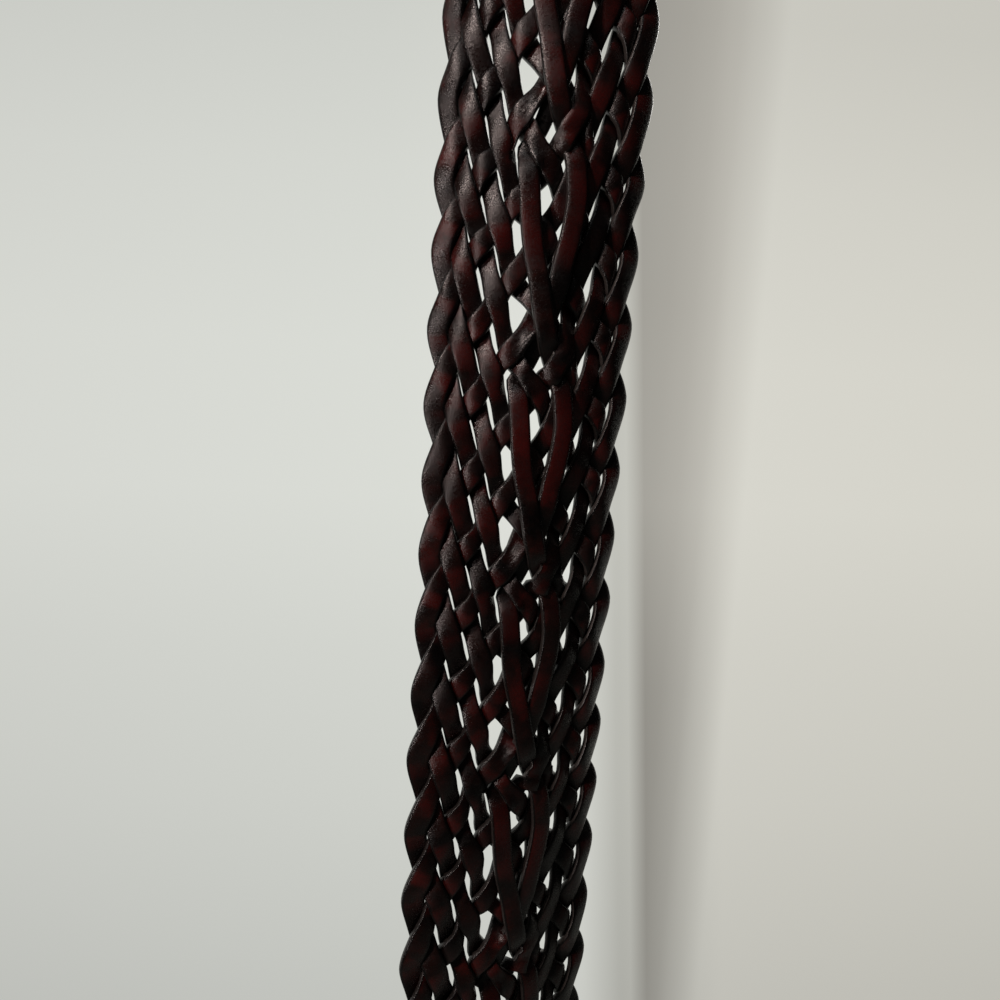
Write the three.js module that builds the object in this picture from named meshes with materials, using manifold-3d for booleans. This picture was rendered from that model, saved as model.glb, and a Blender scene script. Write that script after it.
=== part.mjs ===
// Braided leather belt, hanging from its buckle. Millimetres, +Z up, the grain side towards -Y.
// The origin is the underside of the buckle frame's top bar, where a peg or a hook carries the belt.
import * as THREE from "three";
import { mergeVertices } from "three/addons/utils/BufferGeometryUtils.js";
import Module from "manifold-3d";

const wasm = await Module();
wasm.setup();

// Braid
const BELT_WIDTH = 50;
const LACE_WIDTH = 4.7;
const LACE_THICKNESS = 1.8;
const WEAVE_RISE = 1.25; // how far a lace's middle stands off the middle of the weave at a crossing
const PITCH = 16.92; // from one edge scallop to the next
const PITCHES_PER_MOTIF = 3; // the two long centre laces swap sides once in each motif
const MOTIFS = 19;
const SCALLOP_DEPTH = 1.5;

// Leather tabs
const PLY_THICKNESS = 1.6;
const TAB_OVERHANG = 1; // the tabs are this much wider than the braid on each side
const BUCKLE_TAB_LENGTH = 62;
const TIP_TAB_LENGTH = 92;
const TIP_GRIP = 32; // how much of the braid the tip holds
const TAB_CORNER = 10;
const TIP_CORNER = 22; // the tip is all but a half circle
const PLY_TAPER = 14; // over this length the tip's two plies come together

// Buckle
const FRAME_BAR = 5;
const FRAME_DEPTH = 4.3;
const FRAME_WINDOW = 36;
const FRAME_CORNER = 6;
const FRAME_EDGE = 0.6; // the chamfer round the frame's edges
const PRONG_DIAMETER = 3;
const PRONG_PLAY = 2; // between the prong and each side of its slot
const PRONG_OVERLAP = 3.5; // how far the prong's end lies over the top bar
const PRONG_SLOT_LENGTH = 14; // below the heel bar, in each ply
const TAB_PLAY = 1.5; // between the leather and each leg of the frame

// The prong's middle line: how far up the window it is, and how far forward, as shares of its full reach
const PRONG_ROUTE = [
  { up: 0, forward: 0 },
  { up: 0.2, forward: 0.8 },
  { up: 0.5, forward: 1 },
  { up: 1, forward: 1 },
];

const FIT = 0.3; // clearance where pieces meet

const BRAID_LENGTH = MOTIFS * PITCHES_PER_MOTIF * PITCH;
const PITCHES = MOTIFS * PITCHES_PER_MOTIF;
const HALF_WEAVE = WEAVE_RISE + LACE_THICKNESS / 2; // half the woven braid's thickness
const PLY_INSIDE = HALF_WEAVE + FIT; // from the middle of the belt to a ply
const PLY_OUTSIDE = PLY_INSIDE + PLY_THICKNESS;
const BAR_RADIUS = HALF_WEAVE;
const BAR_Z = -FRAME_WINDOW - BAR_RADIUS;
const BRAID_TOP = BAR_Z - BAR_RADIUS - FIT;
const TAB_WIDTH = BELT_WIDTH + 2 * TAB_OVERHANG;
const WINDOW_WIDTH = TAB_WIDTH + 2 * TAB_PLAY;

// How the hanging braid turns, curls and stretches: at each share of its length, the angle that it is turned by
// and the angle that each edge curls back by, both in degrees, how much broader it is pushed together, and how
// many millimetres higher it hangs there for that. The tabs hold it straight and flat at both ends.
const HANG = [
  { share: 0.0, turn: 0.0, curl: 0.0, breadth: 1, rise: 0 },
  { share: 0.07, turn: 0.0, curl: 0.0, breadth: 1, rise: 0 },
  { share: 0.19, turn: -4.0, curl: 15.0, breadth: 1.01, rise: 0 },
  { share: 0.332, turn: -3.1, curl: 30.0, breadth: 1.03, rise: 0 },
  { share: 0.456, turn: 11.7, curl: 19.0, breadth: 1.01, rise: 0 },
  { share: 0.58, turn: 26.5, curl: 7.6, breadth: 1.11, rise: 2.4 },
  { share: 0.74, turn: 31.0, curl: 3.0, breadth: 1.07, rise: 2.4 },
  { share: 0.86, turn: 14.0, curl: 1.0, breadth: 1.01, rise: 1.0 },
  { share: 0.96, turn: 0.0, curl: 0.0, breadth: 1, rise: 0 },
  { share: 1.0, turn: 0.0, curl: 0.0, breadth: 1, rise: 0 },
];

// The lattice of the weave: how far the rows hang below their place at the edges, in pitches, across the belt
const LATTICE_UNITS = 13;
const LEADS = [
  { unit: 0.0, lead: 0.0 },
  { unit: 2.1, lead: 0.24 },
  { unit: 4.9, lead: 0.83 },
  { unit: 8.5, lead: 0.52 },
  { unit: 10.6, lead: 0.06 },
  { unit: 13.0, lead: -0.18 },
];
const LEAD_RUN_IN = 3; // pitches over which the rows bend from straight to this, at each end
const CROSSING_ROW = 0.2; // where a motif starts, in pitches: the middle of its crossing of two woven laces

// A long centre lace over two motifs: pitches below the motif's start, where it is across the belt, in lattice
// units, and how far it is lifted to pass over the other one, from 0 to 1. The second one is a motif behind.
const CENTRE_LACE = [
  { row: 0.0, unit: 5.28, lift: 0 },
  { row: 0.3, unit: 5.52, lift: 0 },
  { row: 0.6, unit: 5.65, lift: 0 },
  { row: 1.0, unit: 5.8, lift: 0 },
  { row: 1.3, unit: 6.0, lift: 0 },
  { row: 1.53, unit: 6.22, lift: 1 },
  { row: 1.9, unit: 6.5, lift: 1 },
  { row: 2.3, unit: 6.84, lift: 1 },
  { row: 2.76, unit: 7.58, lift: 1 },
  { row: 3.05, unit: 8.0, lift: 0 },
  { row: 3.3, unit: 8.14, lift: 0 },
  { row: 3.6, unit: 8.22, lift: 0 },
  { row: 4.0, unit: 8.02, lift: 0 },
  { row: 4.4, unit: 7.66, lift: 0 },
  { row: 4.7, unit: 7.45, lift: 0 },
  { row: 5.1, unit: 6.98, lift: 0 },
  { row: 5.5, unit: 6.42, lift: 0 },
  { row: 5.8, unit: 5.8, lift: 0 },
  { row: 6.0, unit: 5.28, lift: 0 },
];

// The open gaps of one motif: column in lattice units, row in pitches, and half the width and half the length
// in lace widths
const GAPS = [
  { unit: 4, row: 0, across: 0.14, along: 0.68 },
  { unit: 4, row: 1, across: 0.14, along: 0.68 },
  { unit: 4, row: 2, across: 0.14, along: 0.68 },
  { unit: 4.95, row: 0.5, across: 0.18, along: 0.7 },
  { unit: 4.95, row: 2.5, across: 0.2, along: 0.7 },
  { unit: 6.5, row: 0, across: 0.26, along: 0.66 },
  { unit: 6.5, row: 2, across: 0.26, along: 0.66 },
];

const COLORS = { leather: 0x2a1512, tab: 0x2e1613, metal: 0x8a7550 };

// Value of a column of a table at a place between its rows, along a smooth curve
function along(table, key, column, place) {
  const last = table.length - 1;
  let i = table.findIndex((row) => row[key] > place) - 1;
  if (i < 0) i = place < table[0][key] ? 0 : last - 1;
  const slope = (k) => {
    const a = table[Math.max(k - 1, 0)];
    const b = table[Math.min(k + 1, last)];
    return (b[column] - a[column]) / (b[key] - a[key]);
  };
  const [a, b] = [table[i], table[i + 1]];
  const step = b[key] - a[key];
  const t = THREE.MathUtils.clamp((place - a[key]) / step, 0, 1);
  const bump = t * t * (3 - 2 * t);
  const start = slope(i) * step * t * (1 - t) * (1 - t);
  const end = slope(i + 1) * step * t * t * (t - 1);
  return a[column] + (b[column] - a[column]) * bump + start + end;
}

// A point of the hanging braid: how far down it, across its face, and out of its middle surface
function hang(down, across, out) {
  const share = down / BRAID_LENGTH;
  const turn = THREE.MathUtils.degToRad(along(HANG, "share", "turn", share));
  const curl = THREE.MathUtils.degToRad(along(HANG, "share", "curl", share));
  const bend = Math.max(curl, 1e-6) / (BELT_WIDTH / 2);
  const angle = across * along(HANG, "share", "breadth", share) * bend;
  const x = Math.sin(angle) * (1 / bend + out);
  const y = (1 - Math.cos(angle)) / bend - out * Math.cos(angle);
  return new THREE.Vector3(
    x * Math.cos(turn) - y * Math.sin(turn),
    x * Math.sin(turn) + y * Math.cos(turn),
    BRAID_TOP - down + along(HANG, "share", "rise", share),
  );
}

// How much lower a row hangs at a lattice unit than at the left edge. Rows are counted in pitches from the top.
function lead(unit, row) {
  const runIn = Math.min(1, Math.max(0, Math.min(row, PITCHES - row)) / LEAD_RUN_IN);
  return along(LEADS, "unit", "lead", unit) * PITCH * runIn;
}

function unitAcross(unit) {
  return (unit / LATTICE_UNITS - 0.5) * BELT_WIDTH;
}

// The scalloped edge: full width halfway between two rows, notched at each row
function halfWidth(row) {
  return BELT_WIDTH / 2 - SCALLOP_DEPTH * (1 - Math.abs(Math.sin(Math.PI * row)));
}

// One pitch of the braid as a flat outline with its gaps, in (across, row) coordinates
function tile(from, to) {
  const cuts = 4; // spans across the belt
  const rows = [0, 0.25, 0.75, 1].map((t) => THREE.MathUtils.lerp(from, to, t));
  const contour = [];
  for (let i = 0; i < cuts; i++) contour.push([2 * (i / cuts) - 1, from]);
  for (const row of rows.slice(0, -1)) contour.push([1, row]);
  for (let i = cuts; i > 0; i--) contour.push([2 * (i / cuts) - 1, to]);
  for (const row of rows.slice(1).reverse()) contour.push([-1, row]);
  const place = ([side, row]) => new THREE.Vector2(side * halfWidth(row), row);
  return contour.map(place);
}

function gapsBetween(from, to) {
  const holes = [];
  for (let motif = 0; motif < MOTIFS; motif++) {
    for (const gap of GAPS) {
      const row = motif * PITCHES_PER_MOTIF + gap.row;
      const covered = row * PITCH < BUCKLE_TAB_LENGTH || (PITCHES - row) * PITCH < TIP_GRIP + PITCH;
      if (row < from || row >= to || covered) continue;
      const x = unitAcross(gap.unit);
      const dx = gap.across * LACE_WIDTH;
      const dr = (gap.along * LACE_WIDTH) / PITCH;
      holes.push([
        new THREE.Vector2(x - dx, row),
        new THREE.Vector2(x, row + dr),
        new THREE.Vector2(x + dx, row),
        new THREE.Vector2(x, row - dr),
      ]);
    }
  }
  return holes;
}

// The braid without its long centre laces: front and back faces, walls round the edge, gaps and ends
function weaveGeometry() {
  const points = [];
  const onBraid = (point, out) => {
    const unit = (point.x / BELT_WIDTH + 0.5) * LATTICE_UNITS;
    const inside = THREE.MathUtils.clamp(unit, 0, LATTICE_UNITS);
    const down = THREE.MathUtils.clamp(point.y * PITCH + lead(inside, point.y), 0, BRAID_LENGTH);
    return hang(down, point.x, out);
  };
  const triangle = (a, b, c) => points.push(a, b, c);
  const wall = (a, b) => {
    const [af, bf] = [onBraid(a, HALF_WEAVE), onBraid(b, HALF_WEAVE)];
    const [ab, bb] = [onBraid(a, -HALF_WEAVE), onBraid(b, -HALF_WEAVE)];
    triangle(af, bf, ab);
    triangle(bf, bb, ab);
  };
  const joints = [0];
  for (let row = 0.25; row < PITCHES; row += 1) joints.push(row);
  joints.push(PITCHES);
  joints.slice(0, -1).forEach((from, index) => {
    const to = joints[index + 1];
    const contour = tile(from, to);
    const holes = gapsBetween(from, to);
    const all = [contour, ...holes].flat();
    for (const [a, b, c] of THREE.ShapeUtils.triangulateShape(contour, holes)) {
      const [toB, toC] = [all[b].clone().sub(all[a]), all[c].clone().sub(all[a])];
      const turned = toB.cross(toC);
      const [i, j, k] = turned < 0 ? [a, b, c] : [a, c, b];
      triangle(onBraid(all[i], HALF_WEAVE), onBraid(all[j], HALF_WEAVE), onBraid(all[k], HALF_WEAVE));
      triangle(onBraid(all[i], -HALF_WEAVE), onBraid(all[k], -HALF_WEAVE), onBraid(all[j], -HALF_WEAVE));
    }
    contour.forEach((a, i) => {
      const b = contour[(i + 1) % contour.length];
      const inside = a.y === b.y && a.y !== 0 && a.y !== PITCHES;
      if (!inside) wall(a, b);
    });
    for (const hole of holes) hole.forEach((a, i) => wall(a, hole[(i + 1) % hole.length]));
  });
  const geometry = new THREE.BufferGeometry();
  geometry.setFromPoints(points);
  return geometry;
}

// A long centre lace, lying on the weave from the buckle's leather to the tip's
function centreLaceGeometry(shift) {
  const stepLength = (PITCHES_PER_MOTIF * PITCH) / 10;
  const from = BUCKLE_TAB_LENGTH - BAR_RADIUS;
  const to = BRAID_LENGTH - TIP_GRIP - FIT;
  const steps = Math.round((to - from) / stepLength);
  const half = LACE_WIDTH / 2;
  const rings = [];
  for (let step = 0; step <= steps; step++) {
    const down = THREE.MathUtils.lerp(from, to, step / steps);
    const rows = down / PITCH - CROSSING_ROW + shift * PITCHES_PER_MOTIF;
    const place = rows % (2 * PITCHES_PER_MOTIF);
    const x = unitAcross(along(CENTRE_LACE, "row", "unit", place));
    const lift = Math.max(0, along(CENTRE_LACE, "row", "lift", place));
    const under = HALF_WEAVE + FIT + lift * (LACE_THICKNESS + FIT);
    const over = under + LACE_THICKNESS;
    rings.push([
      hang(down, x - half, under),
      hang(down, x + half, under),
      hang(down, x + half, over),
      hang(down, x - half, over),
    ]);
  }
  const points = [];
  const quad = (a, b, c, d) => points.push(a, b, c, a, c, d);
  for (let i = 0; i < steps; i++) {
    for (let k = 0; k < 4; k++) {
      const n = (k + 1) % 4;
      quad(rings[i][k], rings[i][n], rings[i + 1][n], rings[i + 1][k]);
    }
  }
  quad(rings[0][3], rings[0][2], rings[0][1], rings[0][0]);
  quad(rings[steps][0], rings[steps][1], rings[steps][2], rings[steps][3]);
  const geometry = new THREE.BufferGeometry();
  geometry.setFromPoints(points);
  return geometry;
}

function solid(geometry) {
  const bare = geometry.clone();
  bare.deleteAttribute("normal");
  bare.deleteAttribute("uv");
  const merged = mergeVertices(bare, 1e-4);
  return new wasm.Manifold(
    new wasm.Mesh({
      numProp: 3,
      vertProperties: new Float32Array(merged.attributes.position.array),
      triVerts: new Uint32Array(merged.index.array),
    }),
  );
}

function geometryOf(manifold) {
  const mesh = manifold.getMesh();
  const geometry = new THREE.BufferGeometry();
  geometry.setAttribute("position", new THREE.BufferAttribute(new Float32Array(mesh.vertProperties), 3));
  geometry.setIndex(new THREE.BufferAttribute(new Uint32Array(mesh.triVerts), 1));
  const flat = geometry.toNonIndexed();
  flat.computeVertexNormals();
  return flat;
}

// An outline in X and Z, made this deep along Y and centred on Y = 0
function plate(shape, depth, edge = { bevelEnabled: false }) {
  const geometry = new THREE.ExtrudeGeometry(shape, { depth, curveSegments: 6, ...edge });
  geometry.translate(0, 0, -depth / 2);
  geometry.rotateX(Math.PI / 2);
  return geometry;
}

// A section in Y and Z, made this wide along X and centred on X = 0
function strip(shape, width) {
  const geometry = new THREE.ExtrudeGeometry(shape, { depth: width, bevelEnabled: false, curveSegments: 8 });
  geometry.translate(0, 0, -width / 2);
  const toXyz = new THREE.Matrix4().set(0, 0, 1, 0, 1, 0, 0, 0, 0, 1, 0, 0, 0, 0, 0, 1);
  geometry.applyMatrix4(toXyz);
  return geometry;
}

function box(width, depth, height, x, y, z) {
  return solid(new THREE.BoxGeometry(width, depth, height).translate(x, y, z));
}

// The frame, its heel bar and the prong that lies on its top bar
function buckleGeometry() {
  const inner = WINDOW_WIDTH / 2;
  const outer = inner + FRAME_BAR;
  const foot = BAR_Z - BAR_RADIUS;
  const arch = new THREE.Shape();
  arch.moveTo(-outer, foot);
  arch.lineTo(-inner, foot);
  arch.lineTo(-inner, -FRAME_CORNER / 2);
  arch.absarc(-inner + FRAME_CORNER / 2, -FRAME_CORNER / 2, FRAME_CORNER / 2, Math.PI, Math.PI / 2, true);
  arch.absarc(inner - FRAME_CORNER / 2, -FRAME_CORNER / 2, FRAME_CORNER / 2, Math.PI / 2, 0, true);
  arch.lineTo(inner, foot);
  arch.lineTo(outer, foot);
  arch.absarc(outer - FRAME_CORNER, FRAME_BAR - FRAME_CORNER, FRAME_CORNER, 0, Math.PI / 2, false);
  arch.absarc(-outer + FRAME_CORNER, FRAME_BAR - FRAME_CORNER, FRAME_CORNER, Math.PI / 2, Math.PI, false);
  const frame = plate(arch, FRAME_DEPTH - 2 * FRAME_EDGE, {
    bevelEnabled: true,
    bevelSize: FRAME_EDGE,
    bevelThickness: FRAME_EDGE,
    bevelOffset: -FRAME_EDGE,
    bevelSegments: 1,
  });
  const bar = new THREE.CylinderGeometry(BAR_RADIUS, BAR_RADIUS, WINDOW_WIDTH + FRAME_BAR, 20);
  bar.rotateZ(Math.PI / 2).translate(0, 0, BAR_Z);
  const forward = FRAME_DEPTH / 2 + PRONG_DIAMETER / 2 + FIT;
  const reach = PRONG_OVERLAP - BAR_Z;
  const route = new THREE.CatmullRomCurve3(
    PRONG_ROUTE.map((row) => new THREE.Vector3(0, -row.forward * forward, BAR_Z + row.up * reach)),
  );
  const circle = new THREE.Shape().absarc(0, 0, PRONG_DIAMETER / 2, 0, 2 * Math.PI);
  const rod = { steps: 10, curveSegments: 5, extrudePath: route, bevelEnabled: false };
  const prong = new THREE.ExtrudeGeometry(circle, rod);
  return geometryOf(solid(frame).add(solid(bar)).add(solid(prong)));
}

// Rounded lower corners, cut from a tab that ends at this height
function tabOutline(top, bottom, corner) {
  const half = TAB_WIDTH / 2;
  const shape = new THREE.Shape();
  shape.moveTo(-half, top);
  shape.lineTo(-half, bottom + corner);
  shape.absarc(-half + corner, bottom + corner, corner, Math.PI, 1.5 * Math.PI, false);
  shape.absarc(half - corner, bottom + corner, corner, 1.5 * Math.PI, 2 * Math.PI, false);
  shape.lineTo(half, top);
  return shape;
}

// Leather folded over the heel bar, with a slot for the prong, down both faces of the braid
function buckleTabGeometry() {
  const bottom = BAR_Z - BUCKLE_TAB_LENGTH;
  const fold = new THREE.Shape();
  fold.moveTo(-PLY_OUTSIDE, bottom);
  fold.lineTo(-PLY_INSIDE, bottom);
  fold.lineTo(-PLY_INSIDE, BAR_Z);
  fold.absarc(0, BAR_Z, PLY_INSIDE, Math.PI, 0, true);
  fold.lineTo(PLY_INSIDE, bottom);
  fold.lineTo(PLY_OUTSIDE, bottom);
  fold.lineTo(PLY_OUTSIDE, BAR_Z);
  fold.absarc(0, BAR_Z, PLY_OUTSIDE, 0, Math.PI, false);
  const outline = plate(tabOutline(BAR_Z + 2 * PLY_OUTSIDE, bottom, TAB_CORNER), 4 * PLY_OUTSIDE);
  const slotWidth = PRONG_DIAMETER + 2 * PRONG_PLAY;
  const slotTop = BAR_Z + 2 * PLY_OUTSIDE;
  const slotHeight = slotTop - (BAR_Z - PRONG_SLOT_LENGTH);
  const slot = box(slotWidth, 4 * PLY_OUTSIDE, slotHeight, 0, 0, slotTop - slotHeight / 2);
  return geometryOf(solid(strip(fold, TAB_WIDTH)).intersect(solid(outline)).subtract(slot));
}

// Two plies that hold the end of the braid, come together below it and end in a rounded tip
function tipTabGeometry() {
  const top = BRAID_TOP - BRAID_LENGTH + TIP_GRIP;
  const pocket = BRAID_TOP - BRAID_LENGTH - FIT;
  const bottom = top - TIP_TAB_LENGTH;
  const section = new THREE.Shape();
  section.moveTo(-PLY_OUTSIDE, top);
  section.lineTo(-PLY_INSIDE, top);
  section.lineTo(-PLY_INSIDE, pocket);
  section.lineTo(PLY_INSIDE, pocket);
  section.lineTo(PLY_INSIDE, top);
  section.lineTo(PLY_OUTSIDE, top);
  section.lineTo(PLY_OUTSIDE, pocket);
  section.lineTo(PLY_THICKNESS, pocket - PLY_TAPER);
  section.lineTo(PLY_THICKNESS, bottom);
  section.lineTo(-PLY_THICKNESS, bottom);
  section.lineTo(-PLY_THICKNESS, pocket - PLY_TAPER);
  section.lineTo(-PLY_OUTSIDE, pocket);
  const outline = plate(tabOutline(top + PLY_OUTSIDE, bottom, TIP_CORNER), 4 * PLY_OUTSIDE);
  return geometryOf(solid(strip(section, TAB_WIDTH)).intersect(solid(outline)));
}

function piece(name, geometry, color, roughness, metalness) {
  const mesh = new THREE.Mesh(geometry, new THREE.MeshStandardMaterial({ color, roughness, metalness }));
  mesh.name = name;
  return mesh;
}

const belt = new THREE.Group();
belt.name = "braided_belt";
belt.add(piece("buckle", buckleGeometry(), COLORS.metal, 0.35, 1));
belt.add(piece("buckle_tab", buckleTabGeometry(), COLORS.tab, 0.45, 0));
belt.add(piece("braid_band", geometryOf(solid(weaveGeometry())), COLORS.leather, 0.4, 0));
belt.add(piece("centre_lace_1", geometryOf(solid(centreLaceGeometry(0))), COLORS.leather, 0.4, 0));
belt.add(piece("centre_lace_2", geometryOf(solid(centreLaceGeometry(1))), COLORS.leather, 0.4, 0));
belt.add(piece("tip_tab", tipTabGeometry(), COLORS.tab, 0.45, 0));

export default belt;
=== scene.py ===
# Braided leather belt, hanging from its buckle. Metres, +Z up, the grain side towards -Y.
import math
import random

import bmesh
import bpy
from mathutils import Matrix, Vector


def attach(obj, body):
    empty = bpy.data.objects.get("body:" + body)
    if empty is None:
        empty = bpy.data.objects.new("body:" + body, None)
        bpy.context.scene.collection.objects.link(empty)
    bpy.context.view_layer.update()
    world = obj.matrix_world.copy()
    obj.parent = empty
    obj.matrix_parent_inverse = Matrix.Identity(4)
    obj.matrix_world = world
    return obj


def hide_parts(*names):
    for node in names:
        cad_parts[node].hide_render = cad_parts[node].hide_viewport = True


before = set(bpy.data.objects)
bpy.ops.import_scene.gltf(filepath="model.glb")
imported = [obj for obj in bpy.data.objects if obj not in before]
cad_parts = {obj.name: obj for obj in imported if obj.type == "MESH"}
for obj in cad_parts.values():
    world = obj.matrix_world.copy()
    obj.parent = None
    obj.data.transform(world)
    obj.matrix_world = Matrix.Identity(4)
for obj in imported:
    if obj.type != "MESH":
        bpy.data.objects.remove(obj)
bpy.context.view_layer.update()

MM = 0.001

# Sizes of the braid, in millimetres, the same as in the CAD model
BELT_WIDTH = 50.0
LACE_WIDTH = 4.7
LACE_THICKNESS = 1.8
WEAVE_RISE = 1.25
PITCH = 16.92
PITCHES_PER_MOTIF = 3
MOTIFS = 19
PITCHES = MOTIFS * PITCHES_PER_MOTIF
BRAID_LENGTH = PITCHES * PITCH
BRAID_TOP = -40.6
BUCKLE_TAB_END = 59.55
TIP_TAB_START = BRAID_LENGTH - 32.0

# How the belt hangs, by share of the braid's length: degrees of turn and curl, breadth, millimetres of rise
HANG_SHARES = [0.0, 0.07, 0.19, 0.332, 0.456, 0.58, 0.74, 0.86, 0.96, 1.0]
HANG_TURNS = [0.0, 0.0, -4.0, -3.1, 11.7, 26.5, 31.0, 14.0, 0.0, 0.0]
HANG_CURLS = [0.0, 0.0, 15.0, 30.0, 19.0, 7.6, 3.0, 1.0, 0.0, 0.0]
HANG_BREADTHS = [1, 1, 1.01, 1.03, 1.01, 1.11, 1.07, 1.01, 1, 1]
HANG_RISES = [0, 0, 0, 0, 0, 2.4, 2.4, 1.0, 0, 0]

# Columns of the lattice: where each stands across the belt, and how much lower its rows hang
LATTICE_UNITS = 13
COLUMN_UNITS = [0.66, 1.25, 2.12, 3.05, 4.02, 4.95, 6.5, 7.6, 8.52, 9.58, 10.66, 11.5, 12.24]
COLUMN_LEADS = [0.07, 0.13, 0.24, 0.43, 0.63, 0.83, 0.73, 0.64, 0.52, 0.27, 0.06, -0.09, -0.18]
# How much of its width a lace loses between two crossings, where it is squeezed
SQUEEZE = [0.0, 0.02, 0.06, 0.12, 0.22, 0.22, 0.14, 0.12, 0.12, 0.10, 0.08, 0.02, 0.0]
LAST_COLUMN = 12
LACES = 12
STEPS_PER_MOTIF = 2 * PITCHES_PER_MOTIF

# Rows over which the lead of the columns grows below a tab, and where it shrinks again, in pitches
LEAD_RUN_IN = 3.0
SAG_ROWS = (23.5, 30.5)
SAG_LOSS = 0.1
# Random play of the crossings, in lattice units, and how much of it goes down the belt
HAND_PLAY = 0.07
PLAY_DOWN = 0.6
PLAY_SEED = 31

# Where the weave departs from its columns, by column and by step of six: lattice unit, lead and rise of the
# upper lace
X_CROSSING = (6, 5)
SIDE_CROSSING = (7, 4)
UPPER_CROSSING = (5, 4)
LOOSE_KNOTS = {
    X_CROSSING: (6.62, 0.84, 1.9),
    SIDE_CROSSING: (8.12, 0.66, 1.95),
    UPPER_CROSSING: (4.98, 0.80, 1.5),
    (6, 3): (6.6, 0.72, 1.25),
    (7, 0): (7.75, 0.72, 1.25),
}

# A centre lace over two motifs: pitches below the first crossing, lattice unit, height of its middle in
# millimetres
RIDER_ROUTE = [
    (0.00, 5.28, -0.1), (0.12, 5.42, 1.0), (0.25, 5.52, 2.2), (0.60, 5.65, 2.7), (1.00, 5.80, 2.8),
    (1.30, 6.00, 2.8), (1.65, 6.34, 3.0), (1.90, 6.50, 3.4), (2.20, 6.72, 3.8), (2.40, 6.95, 3.3),
    (2.55, 7.18, 1.7), (2.67, 7.40, 0.3), (2.80, 7.66, 0.1), (2.93, 7.86, 1.0), (3.08, 8.02, 2.3),
    (3.30, 8.14, 2.7), (3.60, 8.22, 2.8), (4.00, 8.02, 2.8), (4.40, 7.66, 2.8), (4.70, 7.45, 2.6),
    (4.90, 7.22, 2.2), (5.10, 6.98, 2.0), (5.30, 6.70, 1.5), (5.50, 6.42, 0.7), (5.66, 6.16, 0.2),
    (5.82, 5.80, 0.0), (6.00, 5.28, -0.1),
]
RIDER_ROWS = [row for row, unit, rise in RIDER_ROUTE]
RIDER_UNITS = [unit for row, unit, rise in RIDER_ROUTE]
RIDER_RISES = [rise for row, unit, rise in RIDER_ROUTE]
X_ROW = 0.20
MIDDLE_LEAD = 0.75

# A centre lace comes down into each tab: height at the tab's mouth and how it grows away from it, in
# millimetres
MOUTH_RISE = 1.35
MOUTH_GROWTH = 1.8
MOUTH_RUN = (-1.0, 13.0)
FREE_FROM = 12.0
FREE_SLOPE = 0.3
RIDER_END_IN_TAB = 9.0
# Height of a centre lace over the belt that counts as no lift for its painted shade
RIDER_LIFT = 1.6
RIDER_WIDTH = 0.95
RIDER_NARROWING = 0.15
NARROW_RISES = (0.3, 2.2)
RIDER_PALE = 0.6

# How steeply the right-hand laces lean, their left edges up, where the belt turns to the right
TILT = 0.28
TILT_COLUMNS = (6.0, 8.5)
TILT_ROWS = (15.0, 27.0)

# How a lace's height falls off from a crossing: at the scalloped edge and elsewhere
EDGE_FALL = 2.2
INNER_FALL = 2.1
# Steps from a crossing over which a lace stops holding a centre lace down
HOLD_REACH = (0.62, 0.8)
# Distance from a centre lace at which the weave gives way, the slit left between them, and the centre lace's
# height past which nothing lies over it, in millimetres
PRESS_REACH = (2.3, 3.8)
PRESS_SLIT = 0.02
FREE_RISE = 1.6

# Where crossing laces slant: columns from the edge over which the slant begins, least width of a column
SLANT_EDGES = (0.1, 1.1)
LEAST_COLUMN = 2.5
# Squeeze grows towards the belt's lower end by this share
LATE_SQUEEZE = 0.7
LATE_ROWS = (26.0, 31.0)
# Cut edges are paler on the right, where a painted highlight stands for the light they catch
PALE_LEAST = 0.3
PALE_COLUMNS = (4.0, 8.0)
FULL_WIDTHS = (1.06, 1.12)


def clamp(value, low, high):
    return max(low, min(high, value))


def smooth(edge0, edge1, value):
    t = clamp((value - edge0) / (edge1 - edge0), 0.0, 1.0)
    return t * t * (3 - 2 * t)


def along(places, values, place):
    """A smooth curve through these values, read at a place."""
    last = len(places) - 1
    i = 0
    while i < last - 1 and places[i + 1] <= place:
        i += 1

    def slope(k):
        a = max(k - 1, 0)
        b = min(k + 1, last)
        return (values[b] - values[a]) / (places[b] - places[a])

    step = places[i + 1] - places[i]
    t = clamp((place - places[i]) / step, 0.0, 1.0)
    bump = t * t * (3 - 2 * t)
    start = slope(i) * step * t * (1 - t) * (1 - t)
    end = slope(i + 1) * step * t * t * (t - 1)
    return values[i] + (values[i + 1] - values[i]) * bump + start + end


def hang(down):
    """Turn, bend, breadth and rise of the hanging braid at this distance down it."""
    share = clamp(down / BRAID_LENGTH, 0.0, 1.0)
    turn = math.radians(along(HANG_SHARES, HANG_TURNS, share))
    curl = math.radians(along(HANG_SHARES, HANG_CURLS, share))
    breadth = along(HANG_SHARES, HANG_BREADTHS, share)
    rise = along(HANG_SHARES, HANG_RISES, share)
    return turn, max(curl, 1e-6) / (BELT_WIDTH / 2), breadth, rise


def on_belt(point, pose):
    """A point of the flat braid (across, down, out) moved to where it hangs, in metres."""
    across, down, out = point
    turn, bend, breadth, rise = pose
    angle = across * breadth * bend
    x = math.sin(angle) * (1 / bend + out)
    y = (1 - math.cos(angle)) / bend - out * math.cos(angle)
    return Vector((
        x * math.cos(turn) - y * math.sin(turn),
        x * math.sin(turn) + y * math.cos(turn),
        BRAID_TOP - down + rise,
    )) * MM


def unit_across(unit):
    return (unit / LATTICE_UNITS - 0.5) * BELT_WIDTH


def sag(row):
    """How much of their lead the rows have here: none in the tabs, less where the belt hangs free."""
    ends = smooth(0.0, LEAD_RUN_IN, min(row, PITCHES - row))
    return ends * (1 - SAG_LOSS * smooth(*SAG_ROWS, row))


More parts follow.
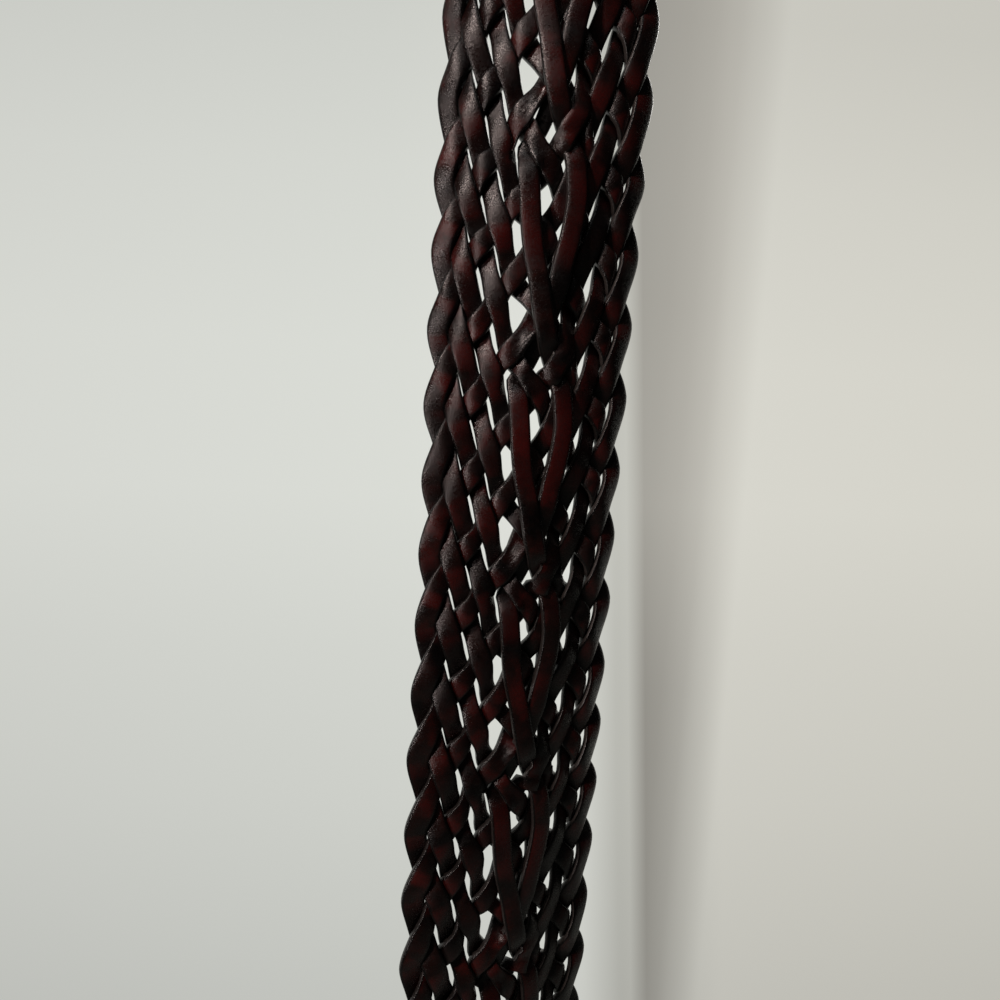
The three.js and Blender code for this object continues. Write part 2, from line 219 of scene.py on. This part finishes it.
def rider_at(down, shift):
    """Across and out of a centre lace's middle line."""
    row = down / PITCH
    start = X_ROW - MIDDLE_LEAD * (1 - sag(row))
    place = (row - start + shift * PITCHES_PER_MOTIF) % (2 * PITCHES_PER_MOTIF)
    unit = along(RIDER_ROWS, RIDER_UNITS, place)
    rise = along(RIDER_ROWS, RIDER_RISES, place)
    ends = min(down - BUCKLE_TAB_END, TIP_TAB_START - down)
    most = MOUTH_RISE + MOUTH_GROWTH * smooth(*MOUTH_RUN, ends) + max(0.0, ends - FREE_FROM) * FREE_SLOPE
    return unit_across(unit), min(rise, most)


def column_of(step, lace):
    """Column of a lace at a step, and whether it is going right."""
    k = (step - (2 * lace + 1)) % (2 * LAST_COLUMN)
    if k < LAST_COLUMN:
        return k, True
    return 2 * LAST_COLUMN - k, False


def knot(step, lace):
    """Where a lace's middle line crosses a column: across and down."""
    column, _ = column_of(step, lace)
    regular = (COLUMN_UNITS[column], COLUMN_LEADS[column], WEAVE_RISE)
    unit, lead, _ = LOOSE_KNOTS.get((column, step % STEPS_PER_MOTIF), regular)
    row = step / 2
    shift = random.Random(step * PLAY_SEED + column)
    unit += shift.uniform(-HAND_PLAY, HAND_PLAY)
    lead += shift.uniform(-HAND_PLAY, HAND_PLAY) * PLAY_DOWN
    return unit_across(unit), (row + lead * sag(row)) * PITCH


def catmull(a, b, c, d, t):
    """A curve between b and c that heads on smoothly from a and to d."""
    return 0.5 * (2 * b + (c - a) * t + (2 * a - 5 * b + 4 * c - d) * t * t + (3 * b - a - 3 * c + d) * t ** 3)


def crossing_rise(place, lace):
    """Height of a woven lace's middle at a place counted in steps, from its nearest crossing."""
    step = math.floor(place + 0.5)
    column, right = column_of(step, lace)
    edges = (0, LAST_COLUMN)
    if column in edges:
        step = step - 1 if place < step else step + 1
        column, right = column_of(step, lace)
        reach = abs(place - step)
        shape = 1 - clamp(reach, 0, 1) ** EDGE_FALL
    else:
        reach = place - step
        following = step - 1 if reach < 0 else step + 1
        next_column, _ = column_of(following, lace)
        reach = abs(reach) if next_column in edges else abs(2 * reach)
        shape = 1 - clamp(reach, 0, 1) ** INNER_FALL
    over = right == (column % 2 == 0)
    _, _, rise = LOOSE_KNOTS.get((column, step % STEPS_PER_MOTIF), (0, 0, WEAVE_RISE))
    return (rise if over else -WEAVE_RISE) * shape


def holds_down(place, lace):
    """How far a woven lace lies over a centre lace at this place, from 0 to 1."""
    for step in (math.floor(place), math.floor(place) + 1):
        column, right = column_of(step, lace)
        over = right == (column % 2 == 0)
        if over and (column, step % STEPS_PER_MOTIF) in (X_CROSSING, SIDE_CROSSING, UPPER_CROSSING):
            return 1 - smooth(*HOLD_REACH, abs(place - step))
    return 0.0


def pressed(across, down, rise, over):
    """The weave gives way where a centre lace lies on it, or rises where it holds one down."""
    for shift in (0.0, 1.0):
        rider_x, rider_out = rider_at(down, shift)
        near = 1 - smooth(*PRESS_REACH, abs(across - rider_x))
        if near == 0:
            continue
        below = min(rise, rider_out - LACE_THICKNESS - PRESS_SLIT)
        above = max(rise, rider_out + LACE_THICKNESS + PRESS_SLIT)
        if rider_out > FREE_RISE:
            above = rise
        rise += ((below + (above - below) * over) - rise) * near
    return rise


# Half outline of a lace's section, as shares of its half width and half thickness: the cut wall, the rounded
# grain corner and the slightly domed grain side
OUTLINE = [(0.45, -0.96), (0.93, -0.90), (1.0, -0.60), (1.0, 0.28)]
OUTLINE += [(0.975, 0.56), (0.88, 0.77), (0.62, 0.93), (0.26, 1.0)]
OUTLINE += [(-across, out) for across, out in reversed(OUTLINE)]
SECTION = len(OUTLINE)


def lace_rings(path, count):
    """Middle point, side direction, tangent and extra values of each ring of a lace in the flat braid."""
    samples = [path(i / count) for i in range(count + 1)]
    rings = []
    for i, sample in enumerate(samples):
        before = samples[max(i - 1, 0)]
        after = samples[min(i + 1, count)]
        tangent = Vector(after[:3]) - Vector(before[:3])
        flat = Vector((tangent.x, tangent.y, 0)).normalized()
        side = Vector((flat.y, -flat.x, 0))
        rings.append((Vector(sample[:3]), side, tangent.normalized(), sample[3:]))
    return rings


def link_mesh(bm, name):
    """A finished bmesh as a mesh object in the scene."""
    mesh = bpy.data.meshes.new(name)
    bm.to_mesh(mesh)
    bm.free()
    piece = bpy.data.objects.new(name, mesh)
    bpy.context.scene.collection.objects.link(piece)
    return piece


def smooth_shaded(bm):
    for face in bm.faces:
        face.smooth = True


def sleeve(name, rings):
    """A closed lace through these rings, as a mesh object with its own UVs and attributes.

    Each ring's extra values are its height as a function of the offset across the lace, a number that swings
    along the lace, its share of the full width, the height that counts as no lift for the painted shade where
    it dives, and how pale its cut edges are, which is partly a painted highlight.
    """
    bm = bmesh.new()
    count = len(rings)
    bmesh.ops.create_grid(bm, x_segments=count - 1, y_segments=SECTION, size=0.5, calc_uvs=False)
    uv_layer = bm.loops.layers.uv.new("lace")
    lift_layer = bm.verts.layers.float.new("lift")
    run_layer = bm.verts.layers.float.new("run")
    side_layer = bm.verts.layers.float.new("side")
    pale_layer = bm.verts.layers.float.new("pale")
    travelled = [0.0]
    for i in range(1, count):
        travelled.append(travelled[-1] + (rings[i][0] - rings[i - 1][0]).length)
    # Until the vertices are placed, run and side hold the ring's number and the place round it
    for vert in bm.verts:
        vert[run_layer] = round((vert.co.x + 0.5) * (count - 1))
        vert[side_layer] = (vert.co.y + 0.5) * SECTION
    for face in bm.faces:
        for loop in face.loops:
            corner = loop.vert
            i = int(corner[run_layer])
            loop[uv_layer].uv = (corner[side_layer] / SECTION, travelled[i] * MM)
    for vert in bm.verts:
        i = int(vert[run_layer])
        k = round(vert[side_layer]) % SECTION
        middle, side, tangent, (rise_at, swing, width, no_lift, pale) = rings[i]
        across, out = OUTLINE[k]
        half = LACE_WIDTH / 2 * width
        offset = across * half
        base = middle + side * offset
        base.z = rise_at(offset)
        normal = side.cross(tangent).normalized()
        if normal.z < 0:
            normal.negate()
        point = base + normal * (out * LACE_THICKNESS / 2)
        vert.co = on_belt(point, hang(clamp(base.y, 0, BRAID_LENGTH)))
        vert[lift_layer] = base.z - no_lift
        vert[run_layer] = swing
        vert[pale_layer] = pale
        vert[side_layer] = across
    bmesh.ops.remove_doubles(bm, verts=bm.verts, dist=1e-6)
    bmesh.ops.holes_fill(bm, edges=[e for e in bm.edges if e.is_boundary], sides=0)
    bmesh.ops.recalc_face_normals(bm, faces=bm.faces)
    smooth_shaded(bm)
    return link_mesh(bm, name)


RINGS_PER_STEP = 8
random.seed(7)


def woven_lace(lace):
    """One of the laces of the braid, from edge to edge and back all the way down."""
    last = 2 * PITCHES
    count = last * RINGS_PER_STEP
    full = random.uniform(*FULL_WIDTHS)

    def path(share):
        place = last * share
        step = min(int(place), last - 1)
        t = place - step
        knots = [knot(step + n, lace) for n in (-1, 0, 1, 2)]
        across = catmull(*[k[0] for k in knots], t)
        down = catmull(*[k[1] for k in knots], t)
        column_a, _ = column_of(step, lace)
        column_b, _ = column_of(step + 1, lace)
        step_across = abs(knots[2][0] - knots[1][0])
        step_down = knots[2][1] - knots[1][1]
        length = math.hypot(step_across, step_down)
        edge_column = column_a + (column_b - column_a) * t
        edge = min(edge_column, LAST_COLUMN - edge_column)
        weight = smooth(*SLANT_EDGES, edge)
        # A crossing lace runs across this one at a slant, so its edge reaches the two sides at different places
        lead_slope = COLUMN_LEADS[max(column_a, column_b)] - COLUMN_LEADS[min(column_a, column_b)]
        direction = 1 if column_b > column_a else -1
        side_x = step_down / length
        side_d = -direction * step_across / length
        column_gain = side_x / max(step_across, LEAST_COLUMN)
        step_gain = 2 * (side_d / PITCH - lead_slope * sag(step / 2) * column_gain)
        skew = weight * (step_gain + direction * column_gain) / 2
        tilt = TILT * smooth(*TILT_COLUMNS, edge_column) * smooth(*TILT_ROWS, step / 2)

        def rise_at(offset):
            spot = place + skew * offset
            rise = crossing_rise(spot, lace)
            over = holds_down(spot, lace)
            if direction < 0:
                rise -= offset * tilt * clamp(rise / WEAVE_RISE, 0.0, 1.0)
            return pressed(across + side_x * offset, down + side_d * offset, rise, over)

        nearest = math.floor(place + 0.5)
        swing = math.sin(2 * math.pi * (place - nearest)) / 2
        squeeze = SQUEEZE[column_a] + (SQUEEZE[column_b] - SQUEEZE[column_a]) * t
        squeeze *= 1 + LATE_SQUEEZE * smooth(*LATE_ROWS, step / 2)
        pale = PALE_LEAST + (1 - PALE_LEAST) * smooth(*PALE_COLUMNS, edge_column)
        width = full * (1 - squeeze * math.sin(math.pi * (place - nearest)) ** 2)
        return across, clamp(down, 0.0, BRAID_LENGTH), rise_at(0.0), rise_at, swing, width, 0.0, pale

    piece = sleeve(f"woven_lace_{lace + 1:02d}", lace_rings(path, count))
    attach(piece, "root")
    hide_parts("braid_band")
    return piece


def centre_lace(number, shift):
    """One of the two long laces down the middle, shifted by this many motifs."""
    top = BUCKLE_TAB_END - RIDER_END_IN_TAB
    bottom = TIP_TAB_START + RIDER_END_IN_TAB
    count = round((bottom - top) / (PITCH / 2) * RINGS_PER_STEP)

    def path(share):
        down = top + (bottom - top) * share
        across, rise = rider_at(down, shift)

        def rise_at(offset):
            return rise

        motif = (down / PITCH - X_ROW) / PITCHES_PER_MOTIF + shift
        width = RIDER_WIDTH - RIDER_NARROWING * (1 - smooth(*NARROW_RISES, rise))
        swing = math.sin(2 * math.pi * motif) / 2
        return across, down, rise, rise_at, swing, width, RIDER_LIFT, RIDER_PALE

    piece = sleeve(f"long_lace_{number}", lace_rings(path, count))
    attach(piece, "root")
    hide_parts(f"centre_lace_{number}")
    return piece


# Stitches of the two tabs: half thickness of a tab where it holds the braid and at the tip, heights, seams
TAB_FACE = 4.05
TIP_FACE = 1.6
TAB_SIDE = 26.0
BAR_Z = -38.15
BUCKLE_TAB_BOTTOM = BAR_Z - 62.0
TIP_TAB_TOP = BRAID_TOP - TIP_TAB_START
TIP_POCKET = BRAID_TOP - BRAID_LENGTH - 0.3
TIP_TAPER = 14.0
TIP_TAB_BOTTOM = TIP_TAB_TOP - 92.0
TIP_CORNER = 22.0
CORNER_PARTS = 12
SEAM_INSET = 3.2
SEAM_BELOW_BAR = 20.0
STITCH_STEP = 4.3
STITCH_LENGTH = 3.1
STITCH_PROUD = 0.05
THREAD = 0.62


def seam_points(corners):
    """Middle and direction of each stitch along this line of corners."""
    stitches = []
    for (x0, z0), (x1, z1) in zip(corners, corners[1:]):
        length = math.hypot(x1 - x0, z1 - z0)
        count = max(1, round(length / STITCH_STEP))
        for i in range(count):
            t = (i + 0.5) / count
            stitches.append((x0 + (x1 - x0) * t, z0 + (z1 - z0) * t, math.atan2(z1 - z0, x1 - x0)))
    return stitches


def tip_face(z):
    """Half thickness of the tip's leather at this height: it tapers below the braid's end."""
    return TAB_FACE + (TIP_FACE - TAB_FACE) * clamp((TIP_POCKET - z) / TIP_TAPER, 0.0, 1.0)


def tab_face(_):
    """Half thickness of the buckle's leather, the same at every height."""
    return TAB_FACE


def stitched(name, corners, face_at):
    """A seam of stitches on both faces of a tab, along this line of corners."""
    bm = bmesh.new()
    for x, z, angle in seam_points(corners):
        half = math.sin(angle) * STITCH_LENGTH / 2
        for front in (-1, 1):
            rise = (face_at(z + half) - face_at(z - half)) * front
            lean = math.atan2(rise, STITCH_LENGTH)
            spot = Vector((x, front * (face_at(z) + STITCH_PROUD), z)) * MM
            turn = Matrix.Rotation(-angle, 4, "Y") @ Matrix.Rotation(lean, 4, "Z")
            stretch = Matrix.Diagonal((STITCH_LENGTH / THREAD, 1.0, 1.0, 1.0))
            place = Matrix.Translation(spot) @ turn @ stretch
            bmesh.ops.create_icosphere(bm, subdivisions=2, radius=THREAD / 2 * MM, matrix=place)
    smooth_shaded(bm)
    piece = link_mesh(bm, name)
    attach(piece, "root")
    return piece


seam_side = TAB_SIDE - SEAM_INSET
seam_top = BAR_Z - SEAM_BELOW_BAR
seam_bottom = BUCKLE_TAB_BOTTOM + SEAM_INSET
buckle_seam = [(-seam_side, seam_top), (-seam_side, seam_bottom), (seam_side, seam_bottom)]
buckle_seam += [(seam_side, seam_top), (-seam_side, seam_top)]

seam_radius = TIP_CORNER - SEAM_INSET
flat_half = seam_side - seam_radius
right_corner = []
for k in range(CORNER_PARTS + 1):
    around = math.radians(k * 90 / CORNER_PARTS)
    corner_x = flat_half + seam_radius * math.cos(around)
    right_corner.append((corner_x, TIP_TAB_BOTTOM + TIP_CORNER - seam_radius * math.sin(around)))
left_corner = [(-x, z) for x, z in reversed(right_corner)]
tip_top_left = (-seam_side, TIP_TAB_TOP - SEAM_INSET)
tip_top_right = (seam_side, TIP_TAB_TOP - SEAM_INSET)
tip_seam = [tip_top_left, tip_top_right] + right_corner + left_corner + [tip_top_left]


# Materials
def node_material(name):
    material = bpy.data.materials.new(name)
    material.use_nodes = True
    tree = material.node_tree
    return material, tree, tree.nodes["Principled BSDF"]


def add(tree, kind, **values):
    """A new node of this kind with these settings."""
    node = tree.nodes.new(kind)
    for key, value in values.items():
        setattr(node, key, value)
    return node


def noise(tree, vector, scale, detail, roughness=0.55, distortion=0.0):
    node = add(tree, "ShaderNodeTexNoise")
    node.inputs["Scale"].default_value = scale
    node.inputs["Detail"].default_value = detail
    node.inputs["Roughness"].default_value = roughness
    node.inputs["Distortion"].default_value = distortion
    tree.links.new(vector, node.inputs["Vector"])
    return node.outputs["Fac"]


def ramp(tree, value, stops):
    """A colour between these stops of place and colour."""
    node = add(tree, "ShaderNodeValToRGB")
    elements = node.color_ramp.elements
    elements[0].position = stops[0][0]
    elements[0].color = stops[0][1]
    elements[1].position = stops[-1][0]
    elements[1].color = stops[-1][1]
    for place, color in stops[1:-1]:
        element = elements.new(place)
        element.color = color
    tree.links.new(value, node.inputs["Fac"])
    return node.outputs["Color"]


def remap(tree, value, low, high, to_low=0.0, to_high=1.0):
    """The value eased from one range to another."""
    node = add(tree, "ShaderNodeMapRange", interpolation_type="SMOOTHSTEP")
    tree.links.new(value, node.inputs["Value"])
    node.inputs["From Min"].default_value = low
    node.inputs["From Max"].default_value = high
    node.inputs["To Min"].default_value = to_low
    node.inputs["To Max"].default_value = to_high
    return node.outputs["Result"]


def spread(tree, value, low, high):
    """The value's share of the way from low to high."""
    node = add(tree, "ShaderNodeMapRange")
    tree.links.new(value, node.inputs["Value"])
    node.inputs["From Min"].default_value = low
    node.inputs["From Max"].default_value = high
    return node.outputs["Result"]


def maths(tree, operation, a, b=None):
    node = add(tree, "ShaderNodeMath", operation=operation)
    for socket, value in ((node.inputs[0], a), (node.inputs[1], b)):
        if value is None:
            continue
        if isinstance(value, (int, float)):
            socket.default_value = value
        else:
            tree.links.new(value, socket)
    return node.outputs["Value"]


def mix(tree, factor, a, b, blend="MIX"):
    node = add(tree, "ShaderNodeMix", data_type="RGBA", blend_type=blend)
    sockets = [socket for socket in node.inputs if socket.enabled]
    for socket, value in zip(sockets, (factor, a, b)):
        if isinstance(value, (int, float, tuple)):
            socket.default_value = value
        else:
            tree.links.new(value, socket)
    return [socket for socket in node.outputs if socket.enabled][0]


def attribute(tree, name):
    return add(tree, "ShaderNodeAttribute", attribute_name=name).outputs["Fac"]


def bump(tree, height, strength, distance, normal=None):
    node = add(tree, "ShaderNodeBump")
    node.inputs["Strength"].default_value = strength
    node.inputs["Distance"].default_value = distance
    tree.links.new(height, node.inputs["Height"])
    if normal is not None:
        tree.links.new(normal, node.inputs["Normal"])
    return node.outputs["Normal"]


def lace_leather():
    """Dark leather with red patches on the grain side, burnished black edges with painted shade towards their
    rounded sides, painted shade where laces dive under others, and pale cut walls that are partly painted
    highlight.
    """
    material, tree, shader = node_material("lace_leather_dark")
    place = add(tree, "ShaderNodeTexCoord").outputs["Object"]
    uv = add(tree, "ShaderNodeUVMap", uv_map="lace").outputs["UV"]
    side = attribute(tree, "side")
    lift = attribute(tree, "lift")
    run = attribute(tree, "run")
    from_middle = maths(tree, "ABSOLUTE", side)
    edge = remap(tree, from_middle, 0.70, 0.93)
    wall = remap(tree, from_middle, 0.955, 0.985)
    cut = maths(tree, "MULTIPLY", wall, attribute(tree, "pale"))
    patches = noise(tree, place, 110.0, 3.0, 0.6)
    clouds = noise(tree, place, 46.0, 2.0, 0.5)
    grain = noise(tree, place, 1900.0, 5.0, 0.8)
    stretched = add(tree, "ShaderNodeMapping")
    stretched.inputs["Scale"].default_value = (6.0, 1300.0, 1.0)
    tree.links.new(uv, stretched.inputs["Vector"])
    creases = noise(tree, stretched.outputs["Vector"], 1.0, 4.0, 0.7, 1.6)
    dark = (0.0042, 0.0022, 0.0021, 1.0)
    brown = (0.0220, 0.0066, 0.0054, 1.0)
    red = (0.110, 0.0115, 0.0100, 1.0)
    shade_and_burnish_black = (0.0012, 0.0008, 0.0008, 1.0)
    pale_sheen_cut_edge = (0.058, 0.050, 0.046, 1.0)
    color = ramp(tree, patches, [(0.36, dark), (0.54, brown), (0.76, red)])
    toward_red = remap(tree, clouds, 0.42, 0.58)
    past_crossing = remap(tree, run, -0.1, 0.45)
    redness = maths(tree, "MULTIPLY", past_crossing, maths(tree, "MULTIPLY", toward_red, 0.7))
    color = mix(tree, redness, color, red)
    # Painted shade: laces are darkened towards black where they dive under a crossing lace.
    painted_dive_shade = remap(tree, lift, 0.10, -1.1)
    color = mix(tree, maths(tree, "MULTIPLY", painted_dive_shade, 0.7), color, shade_and_burnish_black)
    # Burnished edges, darkened gradually towards the rounded sides: partly their own colour, partly painted
    # shade.
    color = mix(tree, maths(tree, "MULTIPLY", edge, 0.95), color, shade_and_burnish_black)
    # The cut walls' pale grey is partly their own colour and partly a painted highlight, stronger towards the
    # belt's right.
    color = mix(tree, cut, color, pale_sheen_cut_edge)
    speckle = ramp(tree, grain, [(0.36, (0.5, 0.5, 0.5, 1.0)), (0.64, (1.0, 1.0, 1.0, 1.0))])
    color = mix(tree, 1.0, color, speckle, "MULTIPLY")
    tree.links.new(color, shader.inputs["Base Color"])
    sheen = remap(tree, noise(tree, place, 190.0, 4.0), 0.35, 0.65, -0.04, 0.10)
    rough = maths(tree, "ADD", remap(tree, grain, 0.38, 0.60, 0.37, 0.20), sheen)
    smooth_wall = maths(tree, "MULTIPLY", wall, maths(tree, "SUBTRACT", 0.42, rough))
    rough = maths(tree, "ADD", rough, smooth_wall)
    tree.links.new(rough, shader.inputs["Roughness"])
    shader.inputs["Specular IOR Level"].default_value = 0.62
    fine = bump(tree, creases, 0.5, 0.00012)
    pores = maths(tree, "MULTIPLY", grain, maths(tree, "SUBTRACT", 1.0, wall))
    fine = bump(tree, pores, 0.9, 0.00008, fine)
    tree.links.new(fine, shader.inputs["Normal"])
    return material


def tab_leather():
    material, tree, shader = node_material("tab_leather_dark")
    place = add(tree, "ShaderNodeTexCoord").outputs["Object"]
    clouds = noise(tree, place, 40.0, 4.0, 0.6)
    grain = noise(tree, place, 1900.0, 5.0, 0.6)
    dark = (0.009, 0.0044, 0.0038, 1.0)
    brown = (0.036, 0.010, 0.0075, 1.0)
    tree.links.new(ramp(tree, clouds, [(0.35, dark), (0.7, brown)]), shader.inputs["Base Color"])
    shader.inputs["Roughness"].default_value = 0.42
    tree.links.new(bump(tree, grain, 0.3, 0.00008), shader.inputs["Normal"])
    return material


def seam_thread():
    material, _, shader = node_material("seam_thread_brown")
    shader.inputs["Base Color"].default_value = (0.075, 0.045, 0.032, 1.0)
    shader.inputs["Roughness"].default_value = 0.6
    return material


def dark_brass():
    material, tree, shader = node_material("buckle_brass_dark")
    place = add(tree, "ShaderNodeTexCoord").outputs["Object"]
    clouds = noise(tree, place, 90.0, 4.0, 0.6)
    dark = (0.16, 0.11, 0.06, 1.0)
    bright = (0.42, 0.31, 0.17, 1.0)
    tree.links.new(ramp(tree, clouds, [(0.3, dark), (0.7, bright)]), shader.inputs["Base Color"])
    shader.inputs["Metallic"].default_value = 1.0
    tree.links.new(remap(tree, clouds, 0.3, 0.7, 0.42, 0.26), shader.inputs["Roughness"])
    return material


def dress(node, material):
    """Give all of a CAD node's surface this material."""
    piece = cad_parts[node]
    for slot in piece.material_slots:
        slot.material = material


lace_material = lace_leather()
tab_material = tab_leather()
laces = [woven_lace(lace) for lace in range(LACES)]
laces += [centre_lace(1, 0.0), centre_lace(2, 1.0)]
for lace in laces:
    lace.data.materials.append(lace_material)
seams = [
    stitched("buckle_tab_stitches", buckle_seam, tab_face),
    stitched("tip_tab_stitches", tip_seam, tip_face),
]
thread_material = seam_thread()
for seam in seams:
    seam.data.materials.append(thread_material)
dress("buckle", dark_brass())
dress("buckle_tab", tab_material)
dress("tip_tab", tab_material)


# Backdrop and floor, in metres: the stretch of wall that its colours run over, and where the planes stand
WALL_ACROSS = (-2.2, 2.6)
WALL_UP = (-3.2, 1.2)
SIGHT_HEIGHT = 0.83
WALL_SIDE = 6
WALL_Y = 2.8
WALL_TOP = 3.2
FLOOR_Z = -3.15


def grey_stops(stops):
    return [(place, (value, value, value, 1.0)) for place, value in stops]


def emission_wall():
    """A pale wall that glows by itself, with painted light and shade across and up it and one painted soft
    upright shadow on it.
    """
    material = bpy.data.materials.new("wall_paper")
    material.use_nodes = True
    tree = material.node_tree
    tree.nodes.clear()
    out = add(tree, "ShaderNodeOutputMaterial")
    glow = add(tree, "ShaderNodeEmission")
    tree.links.new(glow.outputs["Emission"], out.inputs["Surface"])
    split = add(tree, "ShaderNodeSeparateXYZ")
    place = add(tree, "ShaderNodeTexCoord").outputs["Object"]
    tree.links.new(place, split.inputs["Vector"])
    height = maths(tree, "ADD", split.outputs["Z"], SIGHT_HEIGHT)
    upright = maths(tree, "ADD", split.outputs["X"], maths(tree, "MULTIPLY", height, 0.08))
    leaning = maths(tree, "ADD", split.outputs["X"], maths(tree, "MULTIPLY", height, -0.005))
    across = spread(tree, upright, *WALL_ACROSS)
    # Painted light and shade across the wall, with a dark step where the painted shadow begins.
    stops = [(0.0, 0.66, 0.67, 0.63), (0.42, 0.70, 0.715, 0.67), (0.56, 0.745, 0.755, 0.705),
             (0.595, 0.53, 0.53, 0.485), (0.69, 0.68, 0.67, 0.61), (1.0, 0.66, 0.65, 0.59)]
    painted_light_across = ramp(tree, across, [(place, (r, g, b, 1.0)) for place, r, g, b in stops])
    # Where the painted shadow begins and fades out across the wall.
    starts = spread(tree, across, 0.605, 0.620)
    fades = [(0.627, 1.0), (0.648, 0.90), (0.668, 0.68), (0.678, 0.48), (0.688, 0.33), (0.706, 0.0)]
    ends = ramp(tree, spread(tree, leaning, *WALL_ACROSS), grey_stops(fades))
    up = spread(tree, split.outputs["Z"], *WALL_UP)
    # Painted shade: the wall is darker towards its bottom and top.
    heights = [(0.045, 0.78), (0.25, 0.88), (0.40, 0.93), (0.54, 1.0), (0.67, 1.0), (0.82, 0.95), (0.96, 0.87)]
    shade = ramp(tree, up, grey_stops(heights))
    color = mix(tree, 1.0, painted_light_across, shade, "MULTIPLY")
    # Painted shadow: how dark the upright shadow is at each height.
    depths = [(0.30, 0.53), (0.36, 0.54), (0.54, 0.66), (0.72, 0.64), (0.90, 0.67)]
    depth = ramp(tree, up, [(place, (v + 0.01, v - 0.01, v - 0.02, 1.0)) for place, v in depths])
    shadow = mix(tree, 1.0, color, depth, "MULTIPLY")
    color = mix(tree, maths(tree, "MULTIPLY", starts, ends), color, shadow)
    tree.links.new(color, glow.inputs["Color"])
    return material


def plane(name, corners, material):
    """A rectangle from its first corner to the ends of its two sides."""
    bm = bmesh.new()
    bmesh.ops.create_grid(bm, x_segments=1, y_segments=1, size=1.0)
    for vert in bm.verts:
        u = (vert.co.x + 1) / 2
        v = (vert.co.y + 1) / 2
        vert.co = corners[0] + (corners[1] - corners[0]) * u + (corners[2] - corners[0]) * v
    piece = link_mesh(bm, name)
    piece.data.materials.append(material)


wall_corners = [
    Vector((-WALL_SIDE, WALL_Y, -WALL_TOP)),
    Vector((WALL_SIDE, WALL_Y, -WALL_TOP)),
    Vector((-WALL_SIDE, WALL_Y, WALL_TOP)),
]
floor_corners = [
    Vector((-WALL_SIDE, -WALL_SIDE, FLOOR_Z)),
    Vector((WALL_SIDE, -WALL_SIDE, FLOOR_Z)),
    Vector((-WALL_SIDE, WALL_SIDE, FLOOR_Z)),
]
plane("backdrop", wall_corners, emission_wall())
floor_material, _, floor_shader = node_material("floor_pale")
floor_shader.inputs["Base Color"].default_value = (0.5, 0.5, 0.48, 1.0)
floor_shader.inputs["Roughness"].default_value = 0.8
plane("floor", floor_corners, floor_material)


# Light
def area(name, place, target, size, power, color):
    """A rectangular lamp at a place, turned towards its target."""
    data = bpy.data.lights.new(name, "AREA")
    data.shape = "RECTANGLE"
    data.size = size[0]
    data.size_y = size[1]
    data.energy = power
    data.color = color
    lamp = bpy.data.objects.new(name, data)
    lamp.location = place
    lamp.rotation_euler = (Vector(target) - Vector(place)).to_track_quat("-Z", "Y").to_euler()
    bpy.context.scene.collection.objects.link(lamp)


middle = (0, 0, -0.47)
area("key_light", (-0.44, -0.38, 0.02), middle, (0.07, 0.09), 2.3, (1.0, 0.82, 0.76))
area("side_light", (-0.62, -0.42, -0.52), middle, (0.06, 0.12), 1.3, (1.0, 0.86, 0.82))
area("top_light", (-0.25, -0.60, 0.70), (0, 0, -0.40), (0.5, 0.25), 1.0, (1.0, 0.97, 0.95))
area("back_light", (0.35, 0.75, 0.10), middle, (0.3, 0.5), 3.0, (1.0, 0.98, 0.95))
world = bpy.data.worlds.new("room")
world.use_nodes = True
background = world.node_tree.nodes["Background"]
background.inputs["Color"].default_value = (0.8, 0.81, 0.8, 1.0)
background.inputs["Strength"].default_value = 0.010
bpy.context.scene.world = world

# Camera, close in front of the belt: place in millimetres, angles in radians
CAMERA_PLACE = Vector((-18.72, -174.36, -455.4)) * MM
YAW = 0.07
LOOK_DOWN = 0.1253
ROLL = 0.0498
LENS = 27.04
SENSOR = 36.0
level = Vector((math.sin(YAW), math.cos(YAW), 0))
right = Vector((math.cos(YAW), -math.sin(YAW), 0))
forward = level * math.cos(LOOK_DOWN) - Vector((0, 0, math.sin(LOOK_DOWN)))
up = level * math.sin(LOOK_DOWN) + Vector((0, 0, math.cos(LOOK_DOWN)))
camera_data = bpy.data.cameras.new("camera")
camera_data.lens = LENS
camera_data.sensor_width = SENSOR
camera_data.clip_start = 0.01
camera_data.clip_end = 50.0
camera = bpy.data.objects.new("camera", camera_data)
axis_x = right * math.cos(ROLL) + up * math.sin(ROLL)
axis_y = up * math.cos(ROLL) - right * math.sin(ROLL)
turn = Matrix((axis_x, axis_y, -forward)).transposed()
camera.matrix_world = Matrix.Translation(CAMERA_PLACE) @ turn.to_4x4()
bpy.context.scene.collection.objects.link(camera)
bpy.context.scene.camera = camera
bpy.context.scene.view_settings.view_transform = "Standard"
